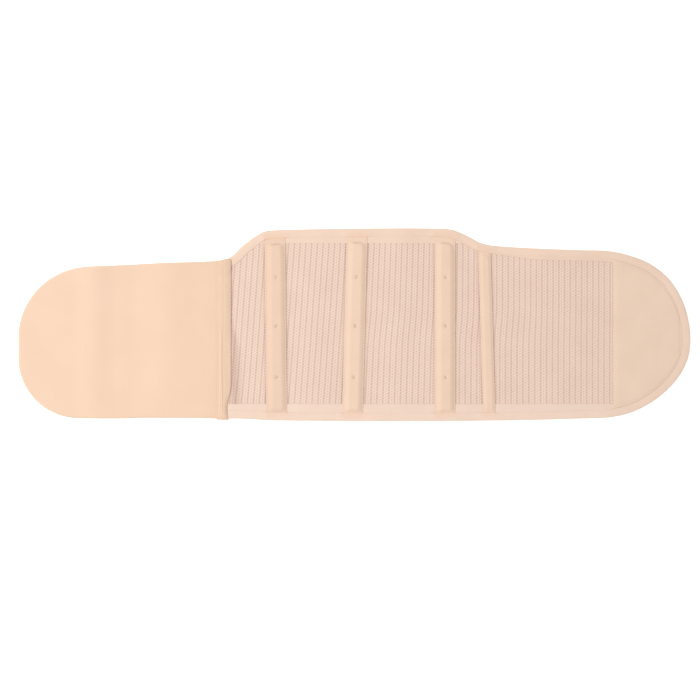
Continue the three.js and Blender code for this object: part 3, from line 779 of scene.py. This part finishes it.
# Stay channels
# Strips of soft laminated cloth sewn down along both sides over the stays, which makes a
# raised pocket with rounded ends. Each wide one is tacked through its stay at three places.
FLANGE, FLANGE_EDGE = 0.5, 0.35  # the cloth where it is sewn down, and its edge's share of that
LEFT_MARGIN, RIGHT_MARGIN = 2.2, 1.0  # flat strip beside the pocket
WIDE_RISE, NARROW_RISE = 2.9, 1.3
LEFT_FLANK, RIGHT_FLANK = 7.5, 6.6  # from the pocket's edge to its flat top
END_FLANK, LOW_FLANK = 4.0, 6.5  # the same at its upper and lower end
POCKET_CORNER = 3.5  # rounding of the pocket's upper end in plan
TONGUE, TONGUE_LENGTH = 1.2, 14  # each side of the pocket draws in by this at its upper end
RIGHT_POWER = 1.35  # the right flank is rounder at its top than the left one
STUFFING, STUFFING_ACROSS = 0.04, 0.2  # how uneven a pocket's rise is, and how slowly across it
TUCK = 4  # how far each end runs under the binding
SEWN_CLEAR = 0.1
POCKET_FROM_UPPER, NARROW_FROM_UPPER = 7.4, 1.5  # from the binding to a pocket's upper end
TACKS = (0.243, -0.008, -0.272)  # heights of the round tacks, as shares of HEIGHT
TACK_WIDTH, TACK_DEPTH = 7.0, 0.6
SIDE_SEAM, SEAM_DENT, DENT_WIDTH = 2.0, 0.34, 0.6  # how far in the sides are sewn


def laid_cloth(name, across, up, place):
    """A closed sheet of cloth. place(u, v) gives x, y and the heights of its two faces."""
    piece, u, v = flat_grid(name, across, up)
    x, y, low, high = place(u, v)
    put(piece, np.column_stack([x, y, high]) * MM)
    bpy.ops.object.shade_smooth()
    # The second face is laid where the cloth's underside is.
    thicken(piece, 1.0)
    points = coordinates(piece)
    points[len(x):] = np.column_stack([points[:len(x), 0], points[:len(x), 1], low * MM])
    put(piece, points)
    return piece


def channel_place(name, seed):
    at, lean, width = CHANNELS[name]
    wide = width == WIDE_CHANNEL
    half, scale = width / 2, width / WIDE_CHANNEL
    rise = WIDE_RISE if wide else NARROW_RISE
    from_upper = TUCK + (POCKET_FROM_UPPER if wide else NARROW_FROM_UPPER)

    def place(u, v):
        off = (2 * u - 1) * half
        lower, upper = inside(at * LENGTH + off, BINDING_WIDTH - TUCK)
        y = lower + (upper - lower) * v
        x = channel_x(at, lean, y) + off
        from_top, from_bottom = upper - from_upper - y, y - lower - TUCK
        drawn_in = corner_cut(np.clip(from_top, 0, None), POCKET_CORNER) * scale
        drawn_in = drawn_in + TONGUE * scale * (1 - smooth(from_top, 0, TONGUE_LENGTH))
        from_left = half + off - LEFT_MARGIN * scale - drawn_in
        from_right = half - off - RIGHT_MARGIN * scale - drawn_in
        left = smooth(from_left, 0, LEFT_FLANK * scale)
        right = 1 - (1 - np.clip(from_right / (RIGHT_FLANK * scale), 0, 1)) ** RIGHT_POWER
        ends = smooth(from_top, 0, END_FLANK) * smooth(from_bottom, 0, LOW_FLANK)
        pull = 1 + STUFFING * ripple(x * STUFFING_ACROSS, y, size=17, seed=seed)
        low = net_z(x, y) + SEWN_CLEAR
        margin = FLANGE * (FLANGE_EDGE + (1 - FLANGE_EDGE) * np.clip(half - np.abs(off), 0, 1))
        sewn_in = SEAM_DENT * bell(half - SIDE_SEAM - np.abs(off), DENT_WIDTH)
        high = low + margin + rise * left * right * ends * pull - sewn_in
        for tack in TACKS if wide else ():
            tack_y = tack * HEIGHT
            away = np.hypot(x - channel_x(at, lean, tack_y), y - tack_y)
            high = high - TACK_DEPTH * bell(away, TACK_WIDTH / 2)
        return x, y, low, high

    return place


channel_cloth = cloth_material(
    "channel_cloth", dark=(0.78, 0.57, 0.437), light=(0.82, 0.60, 0.462),
    roughness=0.88, sheen=0.3, depth=0.12, wale=4600, course=3900)
# The channel nearest the seam is a shade darker.
DARKER_LEFT = (-60, -90)
tinted(channel_cloth, fade(channel_cloth, "X", *DARKER_LEFT), tint=(0.97, 0.96, 0.95))
for seed, (name, (at, lean, width)) in enumerate(CHANNELS.items()):
    cells = 38 if width == WIDE_CHANNEL else 26
    channel = laid_cloth(name + "_cloth", across=cells, up=210, place=channel_place(name, seed))
    channel.data.materials.append(channel_cloth)
    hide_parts(name)
    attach(channel, "root")

# The side seams, the bar tack across a pocket's upper end and the round tacks through it.
BAR_TACK = (10.0, 1.9, 13)  # width, length of a stitch, stitches
BAR_FROM_UPPER, BAR_SHIFT = 8.6, 0.3  # from the binding, and to the right of the middle
ROUND_TACK = (4.6, 4.2, 10)  # as for the bar tack
BAR_GAUGE, ROUND_GAUGE = 0.6, 0.55
ROUND_TURN, ROUND_SEED = 0.8, 60  # how far a round tack may be turned, in radians, at random
SIDE_UP, BAR_UP, ROUND_UP = 0.04, 0.08, 0.1  # how far the threads stand out of the cloth
SIDE_FROM, SIDE_TO = 0.035, 0.968  # where the side seams run, as shares of the length
sides, bars, rounds = [], [], []
for seed, (name, (at, lean, width)) in enumerate(CHANNELS.items()):
    place = channel_place(name, seed)
    upright = math.atan2(1, LENGTH * lean / HEIGHT)
    lower, upper = inside(at * LENGTH, BINDING_WIDTH)
    whole = upper - lower + 2 * TUCK
    share = np.arange(SIDE_FROM, SIDE_TO, STITCH_PITCH / whole)
    for side in (-1, 1):
        u = np.full(len(share), 0.5 + side * (0.5 - SIDE_SEAM / width))
        x, y, low, high = place(u, share)
        sides.append((x, y, high + SIDE_UP, np.full(len(x), upright)))
    if width == NARROW_CHANNEL:
        continue
    from_end = (TUCK + BAR_FROM_UPPER) / whole
    u = 0.5 + (np.linspace(-0.5, 0.5, BAR_TACK[2]) * BAR_TACK[0] + BAR_SHIFT) / width
    x, y, low, high = place(u, np.full(len(u), 1 - from_end))
    bars.append((x, y, high + BAR_UP, np.full(len(x), upright)))
    rng = np.random.default_rng(ROUND_SEED + seed)
    for tack in TACKS:
        turn = rng.uniform(-ROUND_TURN, ROUND_TURN)
        across = np.linspace(-0.5, 0.5, ROUND_TACK[2]) * ROUND_TACK[0]
        x = channel_x(at, lean, tack * HEIGHT) - across * math.sin(turn)
        y = tack * HEIGHT + across * math.cos(turn)
        whole_low, whole_high = inside(at * LENGTH, BINDING_WIDTH - TUCK)
        u = 0.5 + (x - channel_x(at, lean, y)) / width
        high = place(u, (y - whole_low) / (whole_high - whole_low))[3]
        rounds.append((x, y, high + ROUND_UP, np.full(len(x), turn)))
sewn("channel_stitches", sides, STITCH, STITCH_GAUGE, thread)
tack_thread = thread_material("tack_thread", (0.73, 0.55, 0.42))
sewn("channel_bar_tacks", bars, BAR_TACK[1], BAR_GAUGE, tack_thread)
sewn("channel_round_tacks", rounds, ROUND_TACK[1], ROUND_GAUGE, tack_thread)


# Closure panel
# The smooth left end that the hook patch fastens to: soft loop cloth laminated to a thin
# backing, cut with two rounded corners and climbing over the net at the seam.
SEAM_X = -163  # where the tape over the joint ends at the right
TAPE_WIDTH, TAPE_FOOT = 21, 9  # the whole tape, and its part to the right of the panel's edge
TAPE_X = SEAM_X - TAPE_WIDTH
PANEL_EDGE_X = SEAM_X - TAPE_FOOT
PANEL = 2.4
PANEL_CORNER = 0.36  # the share of the grid's columns that the rounded corners take
CLEAR = 0.3  # left open between one cloth and the next
CLIMB = 80  # it climbs from the table on to the net over this length
BINDING_HIGH, DRAPE = 3.8, 12  # and from the net on to the binding over this
SOFT_EDGE, EDGE_ROUND = 0.3, 4.0  # thickness left at a cut edge, and how far in it is rounded
UNEVEN, UNEVEN_FROM = 0.1, (4, 20)  # soft dents in its face, from its edges in
THINNED, THIN_OVER, THIN_POWER = 1.2, 6, 1.5  # it is pressed thin where the tape covers its edge


def sewn_top(x, y):
    """Top of the binding near the border, and of the net elsewhere."""
    lower, upper = inside(x, BINDING_WIDTH + CLEAR)
    from_binding = np.minimum(y - lower, upper - y)
    return net_z(x, y) + (BINDING_HIGH - NET_HIGH) * (1 - smooth(from_binding, 0, DRAPE))


def softened(thickness, from_edge, reach=EDGE_ROUND):
    share = np.sin(math.pi / 2 * np.clip(from_edge / reach, 0, 1))
    return thickness * (SOFT_EDGE + (1 - SOFT_EDGE) * share)


def closer_at_ends(v, share=0.3):
    return (1 - share) * v + share * (0.5 - 0.5 * np.cos(math.pi * v))


def panel_low(x, y):
    climb = smooth(x, TAPE_X - CLIMB, TAPE_X)
    return wave(x, y) * (1 - climb) + (sewn_top(x, y) + CLEAR) * climb


def panel_top(x, y):
    lower, upper = outline(x)
    from_edge = np.minimum(np.minimum(x + LENGTH / 2, y - lower), upper - y)
    soft = UNEVEN * ripple(x, y, size=46, seed=21) * smooth(from_edge, *UNEVEN_FROM)
    thins = THINNED * smooth(x, PANEL_EDGE_X - THIN_OVER, PANEL_EDGE_X) ** THIN_POWER
    return panel_low(x, y) + softened(PANEL, from_edge) - thins + soft


def panel_place(u, v):
    turn = math.pi / 2 * np.minimum(1, u / PANEL_CORNER)
    round_part = -LENGTH / 2 + PANEL_UPPER_RADIUS * (1 - np.cos(turn))
    straight = -LENGTH / 2 + PANEL_UPPER_RADIUS
    straight_part = straight + (PANEL_EDGE_X - straight) * (u - PANEL_CORNER) / (1 - PANEL_CORNER)
    x = np.where(u < PANEL_CORNER, round_part, straight_part)
    lower, upper = outline(x)
    y = lower + (upper - lower) * closer_at_ends(v)
    return x, y, panel_low(x, y), panel_top(x, y)


panel_cloth = cloth_material(
    "closure_cloth", dark=(0.785, 0.56, 0.415), light=(0.82, 0.59, 0.445),
    roughness=0.92, sheen=0.35, depth=0.1, wale=3400, course=3000, blotch=18)
# It is a shade darker towards the seam.
DARKER_RIGHT = (-245, -205)
tinted(panel_cloth, fade(panel_cloth, "X", *DARKER_RIGHT), tint=(0.975, 0.98, 0.96))
panel = laid_cloth("closure_cloth_panel", across=200, up=140, place=panel_place)
panel.data.materials.append(panel_cloth)
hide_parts("closure_panel")
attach(panel, "root")


# Seam tape
# A woven tape sewn over the joint of panel and net. It steps down off the panel's edge, is
# pinched up into two creases in its lower half, and its end stands past the lower edge.
TAPE = 0.8
TAPE_OVERHANG = 1.5  # past the lower edge
TAPE_CUT = 0.52  # its upper end is cut straight across from this share of its width
TAPE_INSET = 1.5  # its right edge draws in by this as it bends down
TAPE_ROUND = 1.6  # its edges are rounded over a shorter way than the panel's, by this factor
TAPE_SQUARE = 1.8  # its left edge is squarer than the others by this
TAPE_UNEVEN = 0.08
FALL_POWER, FALL_LOW = 1.6, 0.35  # how it bends down off the panel, and less so where pinched
TAPER, TAPER_DOWN = 5.5, (80, 112)  # its right edge draws in near the lower end
FLARE, FLARE_DOWN = 1.5, (116, 127)  # and spreads again there
PANEL_THINS = 2
PINCH_RISE, PINCH_LOW, PINCH_HIGH = 0.7, (0.02, 0.08), (0.45, 0.62)  # heights as shares of its length
CREASE, CREASE_APART, CREASE_WIDTH = 0.285, 1.5, 1.0  # two creases that close up towards the middle
PINCH_DENT, DENT_IN, DENT_SPREAD = 0.35, 3.2, 1.3  # a dent beside them, from its left edge in


def tape_place(u, v):
    lower, upper = outline(TAPE_X + TAPE_WIDTH * u)
    upper = np.minimum(upper, outline(TAPE_X + TAPE_CUT * TAPE_WIDTH)[1])
    y = lower - TAPE_OVERHANG + (upper - lower + TAPE_OVERHANG) * closer_at_ends(v, share=0.15)
    right = SEAM_X - TAPE_INSET - TAPER * smooth(-y, *TAPER_DOWN) + FLARE * smooth(-y, *FLARE_DOWN)
    x = TAPE_X + (right - TAPE_X) * u
    shoulder = PANEL_EDGE_X - PANEL_THINS
    on_panel = panel_top(x, y) + CLEAR
    on_net = sewn_top(x, y) + CLEAR
    down = np.clip((x - shoulder) / (right - shoulder), 0, 1)
    fall = 1 - down ** (FALL_POWER - FALL_LOW * smooth(-y, PINCH_FROM, PINCH_FULL))
    thin = softened(TAPE, np.minimum(x - TAPE_X + TAPE_SQUARE, right - x) * TAPE_ROUND)
    height = (y - lower) / (upper - lower)
    pinched = smooth(height, *PINCH_LOW) * (1 - smooth(height, *PINCH_HIGH))
    apart = CREASE_APART * (1 - smooth(height, 0.0, 0.5))
    crease = TAPE_X + CREASE * TAPE_WIDTH
    rise = sum(bell(x - crease - side * apart, CREASE_WIDTH) for side in (-1, 1))
    shelf = sewn_top(shoulder, y) + CLEAR + PANEL + CLEAR
    high = np.where(x < shoulder, on_panel, on_net + (shelf - on_net) * fall) + thin
    low = np.where(x < PANEL_EDGE_X + CLEAR, np.minimum(on_panel, high - 0.5 * TAPE), on_net)
    dent = PINCH_DENT * pinched * bell(x - TAPE_X - DENT_IN, DENT_SPREAD)
    high = high + PINCH_RISE * pinched * np.minimum(1, rise) - dent
    return x, y, low, high + TAPE_UNEVEN * ripple(x, y, size=13, seed=31)


tape_cloth = cloth_material(
    "seam_tape", dark=(0.772, 0.553, 0.403), light=(0.81, 0.585, 0.429),
    roughness=0.85, sheen=0.2, depth=0.15, wale=3000, course=5200)
tape = laid_cloth("seam_tape_cloth", across=48, up=180, place=tape_place)
tape.data.materials.append(tape_cloth)
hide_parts("seam_tape")
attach(tape, "root")
SEAMS_AT, SEAM_FROM, SEAM_TO = (0.09, 0.95), 0.02, 0.985  # as shares of its width and length
SEAM_STITCHES, SEAM_UP = 66, 0.02
tape_seams = []
for u in SEAMS_AT:
    x, y, low, high = tape_place(np.full(SEAM_STITCHES, u), np.linspace(SEAM_FROM, SEAM_TO, SEAM_STITCHES))
    tape_seams.append((x, y, high + SEAM_UP, np.arctan2(np.gradient(y), np.gradient(x))))
sewn("tape_stitches", tape_seams, STITCH, STITCH_GAUGE, thread)


# Hook patch
# Hook fabric on a woven backing, cut to fill the rounded right end inside the binding. Its
# face is a field of fine hooks, pressed flat round the edge where it is sewn down.
PATCH_X = 346.5  # its straight left edge
PATCH = 1.1
PATCH_CLEAR = 0.05  # from the binding
PATCH_ROUND = 6.5
PATCH_TIP = 0.9985  # the grid stops just short of the tip, where it would close to a point
PATCH_DENT, PATCH_SEAM, PATCH_SPREAD = 0.2, 3.2, 1.1  # sewn down this far in from its edge
PATCH_UNEVEN = 0.05
HOOKS, HOOK_DEPTH = 900, -0.9


def patch_place(u, v):
    border = BINDING_WIDTH + PATCH_CLEAR
    reach = RIGHT_END - border - PATCH_X
    x = PATCH_X + reach * np.sin(math.pi / 2 * np.minimum(u, PATCH_TIP))
    lower, upper = inside(x, border)
    y = lower + (upper - lower) * closer_at_ends(v)
    low = net_z(x, y) + CLEAR
    from_edge = np.minimum(np.minimum(x - PATCH_X, RIGHT_END - border - x), np.minimum(y - lower, upper - y))
    sewn_in = PATCH_DENT * bell(from_edge - PATCH_SEAM, PATCH_SPREAD)
    uneven = PATCH_UNEVEN * ripple(x, y, size=30, seed=41)
    return x, y, low, low + softened(PATCH, from_edge, PATCH_ROUND) - sewn_in + uneven


patch_cloth = cloth_material(
    "hook_fabric", dark=(0.785, 0.59, 0.457), light=(0.825, 0.624, 0.487),
    roughness=0.75, sheen=0.1, depth=0.2, wale=4800, course=4800)
# The hooks are a field of fine points, too small to model one by one.
patch_tree = patch_cloth.node_tree
hooks = patch_tree.nodes.new("ShaderNodeTexVoronoi")
settle(hooks, {"Scale": HOOKS})
patch_tree.links.new(patch_tree.nodes["Texture Coordinate"].outputs["Object"], hooks.inputs["Vector"])
height = patch_tree.nodes["Bump"].inputs["Height"]
knitted = height.links[0].from_socket
hooked = math_node(patch_tree, "MULTIPLY_ADD", hooks.outputs["Distance"], HOOK_DEPTH, knitted)
patch_tree.links.new(hooked, height)
patch = laid_cloth("hook_patch_cloth", across=90, up=150, place=patch_place)
patch.data.materials.append(patch_cloth)
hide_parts("hook_patch")
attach(patch, "root")
